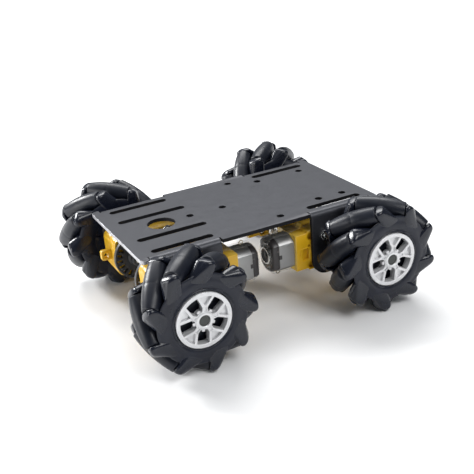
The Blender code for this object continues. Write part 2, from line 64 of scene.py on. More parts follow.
# Wheels, in millimetres and radians like everything down to the studio.
# The dome pairs a step along the roller's axis with a radius. Reach and proud are where the fingers start to
# be eased back, and the limit that they never pass.
ROLLER_CIRCLE = 24.2
ROLLER_HALF = 12.9
ROLLER_MIDDLE = 5.6
ROLLER_END = 4.2
ROLLER_TILT = radians(45)
ROLLER_AT = radians(43)
ROLLER_CORNER = 0.7
ROLLER_STEPS = 12
MOULDING_LINE = 0.03
ROLLER_DISH = 0.4
PIN_RADIUS = 1.2
PIN_PLAY = 0.25
PIN_PAST_LUG = 1.5
LUG_START = 13.4
LUG_DOME = ((0.0, 4.85), (0.9, 4.95), (1.9, 4.8), (2.8, 4.2), (3.5, 3.1), (3.9, 1.5))
LUG_REACH = (27.8, 29.2)
LUG_PROUD = (13.2, 13.97)
LUG_ROOT_CIRCLE = 17.8
LUG_ROOT_RADIUS = 4.3
LUG_ROOT_LAG = radians(40)
LUG_ROOT_DEPTHS = (9.9, 12.35)
HUB_FACE = 12.6
RECESS_FLOOR = 7.6
RECESS_RADIUS = 14.75
DRUM_RADIUS = 17.4
DRUM_RIBS = 6
PLATE_VOXEL = 0.33
PLATE_ROUNDS = 12
PLATE_KEEP = 0.28

# Wheel cap
CAP_FACE = 13.5
CAP_BACK = 9.4
CAP_RADIUS = 14.3
CAP_INSIDE = 12.2
CAP_SPOKES = 5
CAP_SPREAD = radians(17.5)
CAP_ARM = 1.35
CAP_STEM = 2.7
CAP_CHANNEL = 0.72
CAP_BOSS = 4.3
CAP_FORK = 6.7
CAP_SPOKE_AT = {1: radians(81), -1: radians(99)}

# Deck. Slots are (low x, high x, y), the small holes (x, y), and the cable hole its x and radius.
SHEET = 2.0
DECK_CORNER = 3.0
BEND_OUTER = 3.0
RELIEF_WIDTH = 0.6
RELIEF_DEPTH = 0.6
EAR_X = (26.3, 64.3)
EAR_CORNER = 8.3
EAR_BELOW_AXLE = 14.7
SHAFT_HOLE = 4.2
SCREW_HOLE = 1.7
CABLE_HOLE = (-42.8, 7.5)
SLOT_HALF = 2.1
DECK_HOLE = 2.0
SLOTS = ((-61.0, -27.2, 31.0), (-61.9, -23.1, 14.3), (28.8, 62.3, 31.0))
DECK_HOLES = (
    (-26.0, 0.0), (-6.5, 0.0), (12.4, 31.0), (12.4, -31.0),
    (28.0, 23.2), (41.3, -22.7), (56.3, 23.0), (56.3, -23.0),
)
DECK_EDGE = 0.14
BEND_STEPS = 10

# Gear motor, with X and Z from the output shaft. Screws, eyelet and terminal are (x, z), screw heads are
# (radius, height), and the window is its limits in X, then in Z.
GEARBOX_HALF = 9.4
GEARBOX_HIGH = 11.25
NECK_HIGH = 10.3
NECK_START = -29.4
GEARBOX_END = -36.4
GEARBOX_HEAD = 11.2
GEARBOX_CORNER = 4.5
SCREWS = ((-20.3, 8.75), (-20.3, -8.75))
CASE_SCREWS = ((7.0, 7.4), (7.0, -7.4), (-27.0, 8.2), (-27.0, -8.2))
WINDOW = (-32.2, -28.6, -4.8, 1.2)
WINDOW_DEPTH = 2.2
EYELET = (-28.2, 2.9)
SEAM = 0.12
TAB_OUT = 5.8
TAB_HALF = 2.9
SCREW_HEAD = (3.1, 2.4)
CASE_SCREW_HEAD = (1.7, 1.1)
NUT_RADIUS = 3.1
CAN_RADIUS = 10.05
CAN_FLAT = 7.6
CAN_CORNER = 1.2
CAN_REAR = -45.6
END_CAP_REAR = -49.6
BOSS_REAR = -50.6
BOSS_RADIUS = 4.9
TERMINAL = (-43.2, 11.6)
STRAP_HALF = 0.2
STRAP_REACH = 3.6
STRAP_TURN = 3.2
SHAFT_RADIUS = 2.7
SHAFT_FLAT = 1.85
SHAFT_REACH = 18.3
DISC_FACE = -10.6
DISC_RADIUS = 13.0
DISC_THICKNESS = 2.0
DISC_SLOTS = 20

# Studio, in metres and watts
FLOOR_REACH = 4.0
WORLD_COLOUR = (0.86, 0.93, 1.0)
WORLD_STRENGTH = 0.16
ABOVE_FLOOR = (0.0, 0.0, 0.03)
LEFT_WHEELS = (-0.02, 0.0, 0.03)
CAMERA_PLACE = (-0.17744, -0.37600, 0.21560)
CAMERA_AZIMUTH = radians(-25.36)
CAMERA_ELEVATION = radians(23.86)
CAMERA_ROLL = radians(-5.07)
CAMERA_LENS = 61.52
CAMERA_SENSOR = 36.0

# Each light's place, target, size and power
LIGHTS = {
    "left_softbox": ((-0.80, 0.10, 0.20), LEFT_WHEELS, (0.40, 0.40), 2.6),
    "band_softbox": ((-0.58, 0.94, 0.62), LEFT_WHEELS, (0.24, 0.42), 16.0),
    "front_softbox": ((0.30, -0.80, 1.00), ABOVE_FLOOR, (0.70, 0.60), 9.5),
    "top_softbox": ((0.0, 0.10, 1.1), ABOVE_FLOOR, (1.0, 0.8), 1.6),
    "back_softbox": ((0.9, 2.2, 1.1), (0.3, 0.8, 0.0), (2.6, 1.4), 2.6),
    "floor_light": ((0.8, 1.9, 2.4), (0.6, 1.5, 0.0), (2.5, 1.5), 95.0),
}


# Outlines

def arc(centre, radius, start, end, steps):
    """Points on an arc, both ends included."""
    angles = [start + (end - start) * i / steps for i in range(steps + 1)]
    return [(centre[0] + radius * cos(a), centre[1] + radius * sin(a)) for a in angles]


def circle(centre, radius, steps=32):
    return arc(centre, radius, 0.0, tau, steps)[:-1]


def polar(radius, angle, side=0.0):
    """A point at this radius, moved sideways by side."""
    return (radius * cos(angle) - side * sin(angle), radius * sin(angle) + side * cos(angle))


def slot_outline(low, high, y, half=SLOT_HALF):
    right = arc((high - half, y), half, -pi / 2, pi / 2, 10)
    left = arc((low + half, y), half, pi / 2, 3 * pi / 2, 10)
    return right + left


def rounded_box(low_x, high_x, low_y, high_y, radius, steps=4):
    points = arc((high_x - radius, high_y - radius), radius, 0.0, pi / 2, steps)
    points += arc((low_x + radius, high_y - radius), radius, pi / 2, pi, steps)
    points += arc((low_x + radius, low_y + radius), radius, pi, 3 * pi / 2, steps)
    points += arc((high_x - radius, low_y + radius), radius, 3 * pi / 2, tau, steps)
    return points


def signed_area(points):
    following = points[1:] + points[:1]
    return sum(a[0] * b[1] - b[0] * a[1] for a, b in zip(points, following)) / 2


# Mesh builders

def evaluated_data(holder):
    """Mesh data of an object with its modifiers applied."""
    graph = bpy.context.evaluated_depsgraph_get()
    return bpy.data.meshes.new_from_object(holder.evaluated_get(graph))


def plate(outline, holes, low, high, edge, steps=2):
    """Sheet in X and Y from low to high along Z, with holes and rounded edges."""
    curve = bpy.data.curves.new("plate", "CURVE")
    curve.dimensions = "2D"
    curve.fill_mode = "BOTH"
    curve.extrude = (high - low) / 2 - edge
    curve.bevel_depth = edge
    curve.bevel_resolution = steps
    curve.offset = -edge
    for number, points in enumerate([outline] + list(holes)):
        turns_left = signed_area(points) > 0
        ordered = points if turns_left == (number == 0) else points[::-1]
        spline = curve.splines.new("POLY")
        spline.points.add(len(ordered) - 1)
        for target, (x, y) in zip(spline.points, ordered):
            target.co = (x, y, 0.0, 1.0)
        spline.use_cyclic_u = True
    holder = bpy.data.objects.new("plate", curve)
    bpy.context.collection.objects.link(holder)
    bpy.context.view_layer.update()
    data = evaluated_data(holder)
    mesh = bmesh.new()
    mesh.from_mesh(data)
    bmesh.ops.remove_doubles(mesh, verts=mesh.verts, dist=1e-3)
    bmesh.ops.translate(mesh, verts=mesh.verts, vec=(0.0, 0.0, (low + high) / 2))
    bpy.data.objects.remove(holder)
    bpy.data.meshes.remove(data)
    return mesh


def upright(outline, holes, near, far, edge, steps=2):
    """The same sheet standing in X and Z, from near to far along Y."""
    mesh = plate(outline, holes, -far, -near, edge, steps)
    bmesh.ops.rotate(mesh, verts=mesh.verts, cent=(0, 0, 0), matrix=Matrix.Rotation(pi / 2, 3, "X"))
    return mesh


def lathe(profile, sides=64, ring=False):
    """Turn (radius, y) points about Y; a ring closes on itself, and the rest get filled ends."""
    mesh = bmesh.new()
    turns = [tau * i / sides for i in range(sides)]
    loops = [[mesh.verts.new((r * cos(t), y, r * sin(t))) for t in turns] for r, y in profile]
    join_loops(mesh, loops + loops[:1] if ring else loops)
    if not ring:
        mesh.faces.new(loops[0])
        mesh.faces.new(loops[-1])
    return mesh


def join_loops(mesh, loops):
    """Skin a run of equal loops."""
    for near, far in zip(loops, loops[1:]):
        for i in range(len(near)):
            j = (i + 1) % len(near)
            mesh.faces.new((near[i], near[j], far[j], far[i]))


def loft(rings):
    """Closed body through rings of points."""
    mesh = bmesh.new()
    loops = [[mesh.verts.new(point) for point in ring] for ring in rings]
    join_loops(mesh, loops)
    mesh.faces.new(loops[0])
    mesh.faces.new(loops[-1])
    return mesh


def hull(points):
    mesh = bmesh.new()
    made = bmesh.ops.convex_hull(mesh, input=[mesh.verts.new(point) for point in points])
    spare = {v for v in made["geom_interior"] + made["geom_unused"] if isinstance(v, bmesh.types.BMVert)}
    bmesh.ops.delete(mesh, geom=list(spare), context="VERTS")
    return mesh


def rod(start, end, radius, sides=24, edge=0.15):
    """Round rod between two points, with softened ends."""
    start, end = Vector(start), Vector(end)
    length = (end - start).length
    profile = [(radius - edge, 0.0), (radius, edge), (radius, length - edge), (radius - edge, length)]
    mesh = lathe(profile, sides)
    turn = Vector((0, 1, 0)).rotation_difference(end - start).to_matrix().to_4x4()
    bmesh.ops.transform(mesh, verts=mesh.verts, matrix=Matrix.Translation(start) @ turn)
    return mesh


def merge(*parts):
    """One bmesh from several."""
    whole = parts[0]
    for part in parts[1:]:
        data = bpy.data.meshes.new("part")
        part.to_mesh(data)
        part.free()
        whole.from_mesh(data)
        bpy.data.meshes.remove(data)
    return whole


def moved(mesh, offset, turn=None):
    matrix = Matrix.Translation(offset)
    if turn is not None:
        matrix = matrix @ turn.to_4x4()
    bmesh.ops.transform(mesh, verts=mesh.verts, matrix=matrix)
    return mesh


def to_data(name, mesh, *finishes, sharp=32):
    """Mesh data in metres, facing out, smooth except across sharp edges."""
    bmesh.ops.recalc_face_normals(mesh, faces=mesh.faces)
    bmesh.ops.scale(mesh, verts=mesh.verts, vec=(MM, MM, MM))
    data = bpy.data.meshes.new(name)
    mesh.to_mesh(data)
    mesh.free()
    for made in finishes:
        data.materials.append(made)
    data.shade_smooth()
    data.set_sharp_from_angle(angle=radians(sharp))
    return data


def soften(name, mesh, voxel, rounds, keep, made):
    """Join overlapping bodies into one moulded shape with soft corners."""
    data = to_data(name, mesh, made, sharp=180)
    holder = bpy.data.objects.new(name, data)
    bpy.context.collection.objects.link(holder)
    step = holder.modifiers.new("join", "REMESH")
    step.mode = "VOXEL"
    step.voxel_size = voxel * MM
    step.use_smooth_shade = True
    step = holder.modifiers.new("soften", "SMOOTH")
    step.iterations = rounds
    step.factor = 0.5
    step = holder.modifiers.new("thin", "DECIMATE")
    step.ratio = keep
    result = evaluated_data(holder)
    result.name = name
    if not result.materials:
        result.materials.append(made)
    result.shade_smooth()
    bpy.data.objects.remove(holder)
    return result


# Placing

def mirrored(data):
    """The same shape for a corner of the other hand."""
    copy = data.copy()
    copy.name = data.name + "_mirrored"
    copy.transform(Matrix.Diagonal((-1.0, 1.0, 1.0, 1.0)))
    copy.flip_normals()
    return copy


def put(name, data, matrix, body, slot, *nodes):
    """Show one piece: where it is, what it moves with and the CAD nodes it stands for. The slot is not used.
    """
    made = bpy.data.objects.new(name, data)
    made.matrix_world = matrix
    bpy.context.collection.objects.link(made)
    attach(made, body)
    if nodes:
        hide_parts(*nodes)
    return made


def rolled(corner):
    """How far a wheel has rolled at rest, about +Y, as its first roller's place tells."""
    side_x, _ = SIDES[corner]
    axle, roller = (JOINTS[corner + part]["pos_m"] for part in ("_wheel_spin", "_roller_1_spin"))
    return side_x * (ROLLER_AT - atan2(roller[2] - axle[2], side_x * (roller[0] - axle[0])))


def in_corner(corner, data, centre, turns_with_wheel):
    """A shape's data and place in its corner.

    A wheel's roll goes into the data, because a turned object's box would be larger than the wheel.
    """
    facing = Matrix.Rotation(pi if SIDES[corner][1] < 0 else 0.0, 4, "Z")
    roll = rolled(corner) if turns_with_wheel else 0.0
    if abs(roll) > 1e-6:
        data = data.copy()
        data.transform(facing.inverted() @ Matrix.Rotation(roll, 4, "Y") @ facing)
    return data, Matrix.Translation(centre) @ facing


def put_in_corners(name, data, centres, body, slot, node=None, other=None):
    """Show a piece in all four corners, mirrored where the corner's hand asks for it."""
    other = mirrored(data) if other is None else other
    for corner, (side_x, side_y) in SIDES.items():
        chosen = data if side_x * side_y > 0 else other
        nodes = [node + corner] if node else []
        chosen, matrix = in_corner(corner, chosen, centres[corner], body != "chassis")
        put(name + corner, chosen, matrix, body.format(corner), slot, *nodes)


def axle_centres():
    return {corner: Vector(JOINTS[corner + "_wheel_spin"]["pos_m"]) for corner in SIDES}


def motor_centres():
    """On each output shaft's axis, in the middle of the gearbox's thickness."""
    centres = {}
    for corner, axle in axle_centres().items():
        low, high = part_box("gearbox_" + corner)
        centres[corner] = Vector((axle.x, (low.y + high.y) / 2, axle.z))
    return centres


# Materials

def noise(tree, mapping, scale, detail, roughness=0.55):
    made = tree.nodes.new("ShaderNodeTexNoise")
    made.inputs["Scale"].default_value = scale
    made.inputs["Detail"].default_value = detail
    made.inputs["Roughness"].default_value = roughness
    tree.links.new(mapping.outputs[0], made.inputs["Vector"])
    return made.outputs["Fac"]


def spread(tree, value, low, high, start=0.3, end=0.7):
    """Map a noise value to a range."""
    made = tree.nodes.new("ShaderNodeMapRange")
    made.inputs["From Min"].default_value = start
    made.inputs["From Max"].default_value = end
    made.inputs["To Min"].default_value = low
    made.inputs["To Max"].default_value = high
    tree.links.new(value, made.inputs["Value"])
    return made.outputs["Result"]


def blend_colours(tree, factor, first, second):
    """Mix two colours, or an earlier mix and a colour, by a factor."""
    made = tree.nodes.new("ShaderNodeMix")
    made.data_type = "RGBA"
    tree.links.new(factor, made.inputs[0])
    for socket, colour in ((made.inputs[6], first), (made.inputs[7], second)):
        if isinstance(colour, tuple):
            socket.default_value = (*colour, 1.0)
        else:
            tree.links.new(colour, socket)
    return made.outputs[2]


def edge_wear(tree):
    """Bright where the surface turns a sharp outer edge."""
    geometry = tree.nodes.new("ShaderNodeNewGeometry")
    return spread(tree, geometry.outputs["Pointiness"], 0.0, 1.0, 0.53, 0.62)


def finish(name, colour, roughness, metallic=0.0, grain=900.0, bump=0.15, depth=0.05, blotch=0.12,
           uneven=0.08, wear=None, stretch=(1.0, 1.0, 1.0), coat=0.0, specular=0.5):
    """Procedural surface: blotchy colour, uneven gloss, fine grain and paler worn edges.

    Grain is in features per metre and depth in millimetres.
    """
    made = bpy.data.materials.new(name)
    made.use_nodes = True
    tree = made.node_tree
    shader = tree.nodes["Principled BSDF"]
    shader.inputs["Metallic"].default_value = metallic
    shader.inputs["Coat Weight"].default_value = coat
    shader.inputs["Coat Roughness"].default_value = 0.12
    shader.inputs["Specular IOR Level"].default_value = specular
    place = tree.nodes.new("ShaderNodeTexCoord")
    mapping = tree.nodes.new("ShaderNodeMapping")
    mapping.inputs["Scale"].default_value = stretch
    tree.links.new(place.outputs["Object"], mapping.inputs["Vector"])
    coarse = noise(tree, mapping, grain / 12, 4.0)
    fine = noise(tree, mapping, grain, 3.0)
    dark = tuple(c * (1 - blotch) for c in colour)
    pale = tuple(min(c * (1 + blotch), 1.0) for c in colour)
    shade = blend_colours(tree, spread(tree, coarse, 0.0, 1.0), dark, pale)
    if wear is not None:
        shade = blend_colours(tree, edge_wear(tree), shade, wear)
    tree.links.new(shade, shader.inputs["Base Color"])
    rough = spread(tree, coarse, roughness - uneven, roughness + uneven)
    tree.links.new(rough, shader.inputs["Roughness"])
    relief = tree.nodes.new("ShaderNodeBump")
    relief.inputs["Strength"].default_value = bump
    relief.inputs["Distance"].default_value = depth * MM
    tree.links.new(fine, relief.inputs["Height"])
    tree.links.new(relief.outputs["Normal"], shader.inputs["Normal"])
    return made


def clear_plastic():
    made = finish("clear_plastic", (0.90, 0.89, 0.84), 0.15, grain=500.0, bump=0.05, blotch=0.02,
                  uneven=0.03)
    made.node_tree.nodes["Principled BSDF"].inputs["Alpha"].default_value = 0.10
    return made


def make_finishes():
    """Every surface of the object."""
    return {
        "anodised": finish("anodised_sheet", (0.042, 0.044, 0.052), 0.40, 0.5, 2600.0, 0.15, 0.03, 0.06,
                           0.03, wear=(0.10, 0.10, 0.11), stretch=(0.5, 1.0, 1.0)),
        # Darker, duller copy of the anodised finish: painted shade on the walls of the deck's holes and
        # slots and along the sheet's sides.
        "painted_shade_wall": finish("anodised_wall_painted_shade", (0.008, 0.008, 0.010), 0.55, 0.0, 2600.0, 0.2, 0.03,
                            0.2, 0.05, specular=0.15),
        "cut_edge": finish("bare_cut_edge", (0.40, 0.40, 0.42), 0.42, 0.8, 1800.0, 0.2, 0.03, 0.12, 0.08,
                           stretch=(1.0, 0.15, 1.0)),
        "rubber": finish("black_rubber", (0.007, 0.009, 0.016), 0.38, 0.0, 1500.0, 0.2, 0.04, 0.20, 0.06,
                         wear=(0.020, 0.022, 0.028), specular=0.36),
        "hub": finish("satin_black_plastic", (0.008, 0.010, 0.019), 0.32, 0.0, 1100.0, 0.12, 0.03, 0.20,
                      0.05, wear=(0.022, 0.024, 0.032), specular=0.34),
        "lugs": finish("gloss_black_plastic", (0.007, 0.009, 0.017), 0.25, 0.0, 1100.0, 0.10, 0.03, 0.20,
                       0.05, wear=(0.020, 0.022, 0.030), specular=0.45),
        "cap": finish("silver_paint", (0.66, 0.66, 0.67), 0.33, 0.45, 3000.0, 0.10, 0.02, 0.06, 0.06,
                      wear=(0.90, 0.90, 0.91)),
        "cap_centre": finish("grey_insert", (0.045, 0.048, 0.045), 0.5, 0.0, 2500.0, 0.4, 0.04, 0.25,
                             0.1),
        "yellow": finish("yellow_plastic", (0.68, 0.39, 0.010), 0.36, 0.0, 700.0, 0.12, 0.05, 0.10, 0.07,
                         wear=(0.88, 0.60, 0.10), coat=0.1),
        "steel": finish("plated_steel", (0.27, 0.27, 0.27), 0.42, 0.85, 900.0, 0.15, 0.03, 0.14, 0.08,
                        wear=(0.48, 0.48, 0.47), stretch=(0.2, 1.0, 1.0)),
        "end_cap": finish("brown_black_plastic", (0.026, 0.023, 0.024), 0.30, 0.0, 900.0, 0.2, 0.04, 0.25,
                          0.08, wear=(0.10, 0.09, 0.085)),
        # Near-black finish: painted shade in the bearing hole at the motor's rear and in the screws' cross
        # recesses.
        "bearing": finish("black_painted_shade", (0.012, 0.014, 0.018), 0.35, 0.0, 1500.0, 0.2, 0.03, 0.3,
                          0.08),
        "screw": finish("zinc_plating", (0.66, 0.66, 0.64), 0.24, 1.0, 1800.0, 0.12, 0.02, 0.10, 0.06,
                        wear=(0.85, 0.85, 0.84)),
        "brass": finish("tinned_brass", (0.46, 0.42, 0.34), 0.32, 1.0, 1500.0, 0.15, 0.03, 0.2, 0.08),
        "disc": finish("black_disc", (0.018, 0.018, 0.020), 0.40, 0.0, 1500.0, 0.25, 0.04, 0.25, 0.08,
                       wear=(0.06, 0.06, 0.062)),
        "shaft": finish("ivory_plastic", (0.70, 0.66, 0.56), 0.40, 0.0, 900.0, 0.12, 0.03, 0.06, 0.06),
        "clear": clear_plastic(),
    }


# Rollers

def roller_radius(along):
    """Barrel shape that keeps the wheel round."""
    return ROLLER_MIDDLE - (ROLLER_MIDDLE - ROLLER_END) * (along / ROLLER_HALF) ** 2


def roller_mesh():
    """Barrel about Y with soft ends, a shallow dish at each end and a moulding line round its middle."""
    outer = []
    straight = ROLLER_HALF - ROLLER_CORNER
    middle = roller_radius(0.0)
    for i in range(ROLLER_STEPS + 1):
        along = -straight + 2 * straight * i / ROLLER_STEPS
        if i == ROLLER_STEPS // 2:
            line = middle - MOULDING_LINE
            outer += [(middle, -0.22), (line, -0.06), (line, 0.06), (middle, 0.22)]
        else:
            outer.append((roller_radius(along), along))
    inside = roller_radius(straight) - ROLLER_CORNER
    turn = arc((inside, straight), ROLLER_CORNER, 0.0, pi / 2, 3)[1:]
    dish = ROLLER_HALF - ROLLER_DISH
    turn += [(2.6, ROLLER_HALF), (2.3, dish), (PIN_RADIUS + PIN_PLAY, dish)]
    profile = [(r, -y) for r, y in reversed(turn)] + outer + turn
    return lathe(profile, 40, ring=True)


def show_rollers(finishes):
    data = to_data("roller", roller_mesh(), finishes["rubber"], sharp=40)
    for corner in SIDES:
        for number in range(1, ROLLERS + 1):
            joint = JOINTS[f"{corner}_roller_{number}_spin"]
            turn = Vector((0, 1, 0)).rotation_difference(Vector(joint["axis"]))
            turned = data.copy()
            turned.transform(turn.to_matrix().to_4x4())
            name = f"barrel_{corner}_{number}"
            place = Matrix.Translation(joint["pos_m"])
            put(name, turned, place, joint["child"], "black_rubber", f"roller_{corner}_{number}")


# Wheel hubs

def roller_frame(angle):
    """Centre, axis, outward and side directions of the roller at this angle about the axle."""
    outward = Vector((cos(angle), 0.0, sin(angle)))
    tangent = Vector((sin(angle), 0.0, -cos(angle)))
    axis = tangent * sin(ROLLER_TILT) + Vector((0.0, cos(ROLLER_TILT), 0.0))
    return outward * ROLLER_CIRCLE, axis, outward, axis.cross(outward)


def ring_about(placed, along, radius, sides=36):
    centre, axis, outward, side = placed
    turns = [tau * i / sides for i in range(sides)]
    return [centre + axis * along + (outward * cos(t) + side * sin(t)) * radius for t in turns]


def roller_angles():
    return [ROLLER_AT + tau * i / ROLLERS for i in range(ROLLERS)]


def lug_mesh(angle):
    """Domed finger at the wheel's outer side, running back into the plate."""
    placed = roller_frame(angle)
    points = []
    for step, radius in LUG_DOME:
        points += ring_about(placed, LUG_START + step, radius)
    root = polar(LUG_ROOT_CIRCLE, angle - LUG_ROOT_LAG)
    for depth in LUG_ROOT_DEPTHS:
        points += [(x, depth, z) for x, z in circle(root, LUG_ROOT_RADIUS, 28)]
    return hull(points)


def eased(value, start, end):
    """The value itself up to start, and from there ever closer to end."""
    if value <= start:
        return value
    return start + (end - start) * (1 - exp((start - value) / (end - start)))


def trim_reach(mesh):
    """Keep the fingers inside the wheel's circle and its width."""
    for vert in mesh.verts:
        reach = hypot(vert.co.x, vert.co.z)
        kept = eased(reach, *LUG_REACH) / reach
        vert.co = (vert.co.x * kept, eased(vert.co.y, *LUG_PROUD), vert.co.z * kept)


def plate_mesh():
    """Outer half of the hub before its corners are softened: a ring with nine fingers."""
    profile = [
        (RECESS_RADIUS, 7.0), (RECESS_RADIUS, 12.2), (17.0, 12.4), (20.0, 12.4), (22.6, 12.4),
        (23.3, 12.2), (23.4, 11.8), (22.4, 11.3), (21.3, 10.1), (20.6, 8.6), (18.6, 7.0),
    ]
    mesh = merge(lathe(profile, 90, ring=True), *[lug_mesh(angle) for angle in roller_angles()])
    trim_reach(mesh)
    return mesh


def face_ring_mesh():
    """Smooth ring round the cap, with a lip and a groove beside it."""
    profile = [
        (RECESS_RADIUS, 8.0), (RECESS_RADIUS, HUB_FACE), (RECESS_RADIUS + 0.2, 12.8), (15.3, 12.82),
        (15.5, 12.7), (15.6, 12.5), (15.8, 12.48), (16.0, 12.7), (16.5, 12.95), (17.3, 13.08),
        (18.2, 13.1), (19.1, 13.0), (20.0, 12.78), (20.8, 12.58), (21.6, 12.5), (22.5, 12.46),
        (23.1, 12.36), (23.4, 12.12), (23.25, 11.9), (22.5, 11.5), (21.4, 10.8), (20.2, 10.0), (17.0, 8.0),
    ]
    return lathe(profile, 128, ring=True)


def inner_ring_mesh():
    """Flat ring on the wheel's inner side, under the fingers."""
    profile = [
        (13.8, -8.0), (13.8, -12.4), (14.1, -12.7), (21.9, -12.75), (22.9, -12.6), (23.35, -12.3),
        (23.3, -11.95), (22.5, -11.5), (21.4, -10.8), (20.2, -10.0), (17.0, -8.0),
    ]
    return lathe(profile, 128, ring=True)


def drum_mesh():
    """Drum between the plates, closed at the inner side round the coupling."""
    profile = [
        (3.0, RECESS_FLOOR), (3.0, -18.0), (3.2, -18.2), (5.9, -18.2), (6.2, -17.9), (6.2, -12.9),
        (6.6, -12.4), (11.0, -12.2), (11.4, -11.6), (14.2, -11.6), (14.8, -12.2), (15.6, -12.2),
        (16.2, -7.6), (DRUM_RADIUS, -7.2), (DRUM_RADIUS, 7.2), (16.4, RECESS_FLOOR),
    ]
    body = lathe(profile, 96, ring=True)
    ribs = []
    for i in range(DRUM_RIBS):
        rib = upright(rounded_box(5.8, 15.0, -0.7, 0.7, 0.3), [], -12.7, -11.0, 0.2)
        ribs.append(moved(rib, (0, 0, 0), Matrix.Rotation(tau * i / DRUM_RIBS, 3, "Y")))
    return merge(body, *ribs)


def pins_mesh():
    pins = []
    for angle in roller_angles():
        centre, axis, _, _ = roller_frame(angle)
        reach = LUG_START + PIN_PAST_LUG
        pins.append(rod(centre - axis * reach, centre + axis * reach, PIN_RADIUS, 16))
    return merge(*pins)


def show_hubs(finishes, centres):
    body, slot = "{}_wheel", "gloss_black_plastic"
    outer = soften("outer_plate", plate_mesh(), PLATE_VOXEL, PLATE_ROUNDS, PLATE_KEEP, finishes["lugs"])
    put_in_corners("outer_plate_", outer, centres, body, slot, "wheel_hub_")
    inner = outer.copy()
    inner.name = "inner_plate"
    about_roller = Vector((cos(ROLLER_AT), 0.0, sin(ROLLER_AT)))
    inner.transform(Matrix.Rotation(pi, 4, about_roller))
    put_in_corners("inner_plate_", inner, centres, body, slot)
    ring = to_data("face_ring", face_ring_mesh(), finishes["hub"], sharp=60)
    put_in_corners("face_ring_", ring, centres, body, slot, other=ring)
    back = to_data("inner_ring", inner_ring_mesh(), finishes["hub"], sharp=60)
    put_in_corners("inner_ring_", back, centres, body, slot, other=back)
    drum = to_data("drum", drum_mesh(), finishes["hub"], sharp=40)
    put_in_corners("drum_", drum, centres, body, slot, other=drum)
    pins = to_data("roller_pins", pins_mesh(), finishes["screw"])
    put_in_corners("roller_pins_", pins, centres, body, "motor_steel")


# Wheel caps

def cap_windows(first_spoke):
    """Openings between the spokes, pockets inside each fork and channels along each stem."""
    openings, pockets, channels = [], [], []
    half, stem = CAP_ARM / 2, CAP_STEM / 2
    side = half / CAP_INSIDE
    for i in range(CAP_SPOKES):
        spoke = first_spoke + tau * i / CAP_SPOKES
        following = spoke + tau / CAP_SPOKES
        rim = arc((0, 0), CAP_INSIDE, spoke + CAP_SPREAD + side, following - CAP_SPREAD - side, 10)
        near = CAP_BOSS + 0.5
        inner = [polar(CAP_FORK, following, -stem), polar(near, following, -stem)]
        inner += [polar(near, spoke, stem), polar(CAP_FORK, spoke, stem)]
        openings.append(rim + inner)
        rim = arc((0, 0), CAP_INSIDE, spoke - CAP_SPREAD + side, spoke + CAP_SPREAD - side, 8)
        apex = [polar(CAP_FORK + 1.1, spoke, 0.35), polar(CAP_FORK + 1.1, spoke, -0.35)]
        pockets.append(rim + apex)
        start, end, wide = near - 0.2, CAP_FORK + 0.2, CAP_CHANNEL
        corners = [(start, -wide), (end, -wide), (end, wide), (start, wide)]
        channels.append([polar(radius, spoke, offset) for radius, offset in corners])
    return openings, pockets, channels


def cap_mesh(first_spoke):
    """Three stacked layers: deep walls, pocket depth, then raised ribs, with the centre boss."""
    openings, pockets, channels = cap_windows(first_spoke)
    openings.append(circle((0, 0), 3.0, 40))
    rim = circle((0, 0), CAP_RADIUS, 120)
    deep = upright(rim, openings, CAP_BACK, CAP_FACE - 1.5, 0.05, 1)
    middle = upright(rim, openings + pockets, CAP_FACE - 1.6, CAP_FACE - 0.5, 0.05, 1)
    raised = upright(rim, openings + pockets + channels, CAP_FACE - 0.6, CAP_FACE, 0.22, 3)
    boss = lathe([
        (2.9, CAP_BACK), (2.9, CAP_FACE + 0.25), (3.05, CAP_FACE + 0.42), (3.9, CAP_FACE + 0.42),
        (4.15, CAP_FACE + 0.3), (CAP_BOSS, CAP_FACE + 0.05), (CAP_BOSS + 0.35, CAP_FACE - 0.15),
        (CAP_BOSS + 0.6, CAP_FACE - 1.0), (CAP_BOSS + 0.6, CAP_BACK),
    ], 64, ring=True)
    tabs = []
    for i in range(CAP_SPOKES):
        angle = first_spoke + tau * (i + 0.5) / CAP_SPOKES
        tab = upright(rounded_box(4.4, 5.9, -0.75, 0.75, 0.2), [], CAP_FACE - 1.4, CAP_FACE - 0.5, 0.15)
        tabs.append(moved(tab, (0, 0, 0), Matrix.Rotation(-angle, 3, "Y")))
    return merge(deep, middle, raised, boss, *tabs)


def cap_centre_mesh():
    """Plug in the cap's middle, slightly domed with one fine groove."""
    profile = [
        (2.95, 9.6), (2.95, CAP_FACE - 0.3), (2.8, CAP_FACE - 0.15), (2.3, CAP_FACE - 0.1),
        (2.2, CAP_FACE - 0.16), (2.1, CAP_FACE - 0.1), (1.0, CAP_FACE - 0.04), (0.05, CAP_FACE - 0.02),
    ]
    return lathe(profile, 48)


def show_caps(finishes, centres):
    """Show the caps.

    Before they roll, both wheels of a side have spokes that point the same way, so front and rear differ.
    """
    centre = to_data("cap_plug", cap_centre_mesh(), finishes["cap_centre"])
    rear = to_data("cap_rear", cap_mesh(CAP_SPOKE_AT[1]), finishes["cap"], sharp=28)
    front = to_data("cap_front", cap_mesh(CAP_SPOKE_AT[-1]), finishes["cap"], sharp=28)
    shapes = {
        (1, 1): rear, (1, -1): mirrored(rear), (-1, -1): front, (-1, 1): mirrored(front),
    }
    for corner, sides in SIDES.items():
        body = corner + "_wheel"
        face, matrix = in_corner(corner, shapes[sides], centres[corner], True)
        put("cap_face_" + corner, face, matrix, body, "silver_plastic", "wheel_cap_" + corner)
        plug, matrix = in_corner(corner, centre, centres[corner], True)
        put("cap_plug_" + corner, plug, matrix, body, "black_plastic")


# Gearboxes

